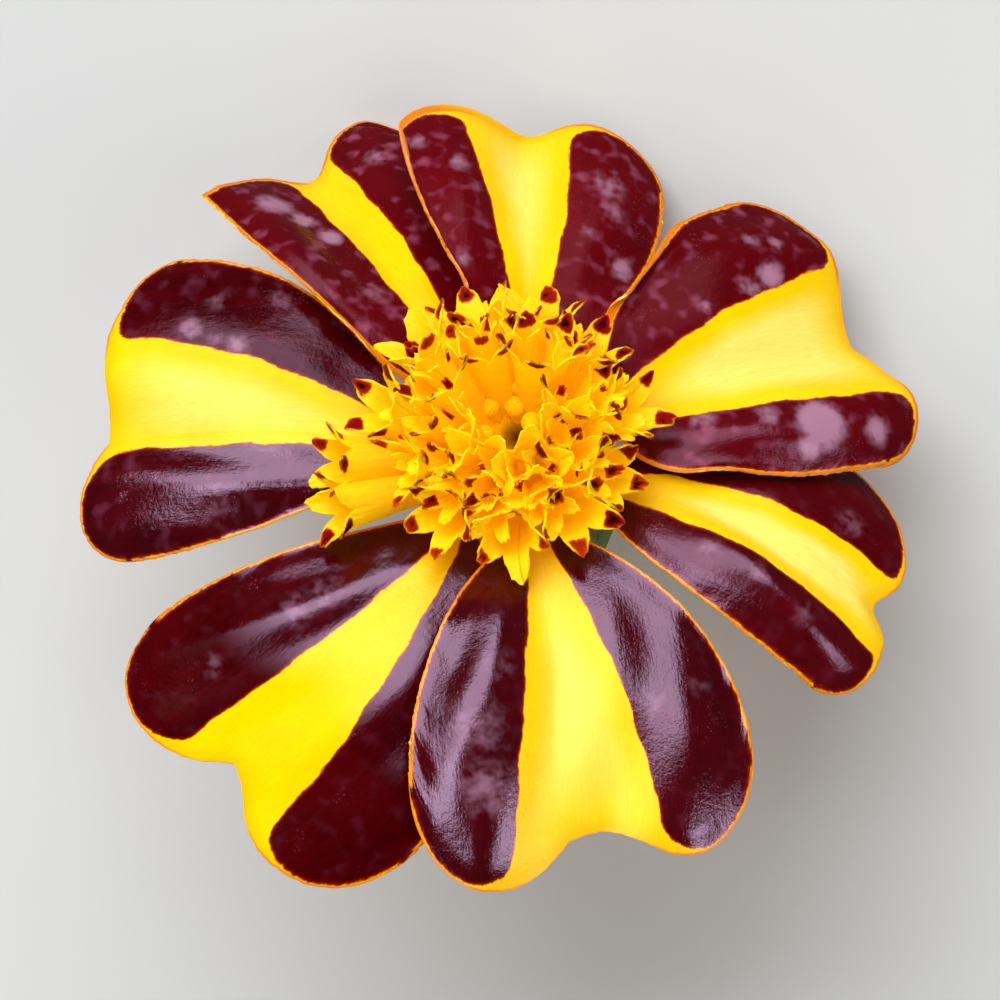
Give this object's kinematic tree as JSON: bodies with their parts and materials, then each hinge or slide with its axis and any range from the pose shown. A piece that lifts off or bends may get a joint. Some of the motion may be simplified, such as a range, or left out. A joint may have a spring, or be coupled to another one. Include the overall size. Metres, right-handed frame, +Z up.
{
  "type": "marigold flower",
  "caption": "Single marigold flower head with striped, notched ray florets round a crown of open disc florets, on a short stub of cut stem.",
  "frame": {"origin": "middle of the flower's footprint, on the surface it rests on", "axes": "+Z up from the surface, +X across the flower's width, -Y the way its face leans"},
  "size_m": [0.0454, 0.0368, 0.0314],
  "materials": {
    "stem": "satin",
    "involucre": "satin",
    "ray_florets": "satin",
    "disc_florets": "matte"
  },
  "bodies": {
    "root": {"stem": "stem", "involucre": "involucre", "ray_floret_1": "ray_florets", "ray_floret_2": "ray_florets", "ray_floret_3": "ray_florets", "ray_floret_4": "ray_florets", "ray_floret_5": "ray_florets", "ray_floret_6": "ray_florets", "ray_floret_7": "ray_florets", "disc_florets": "disc_florets"}
  },
  "joints": []
}
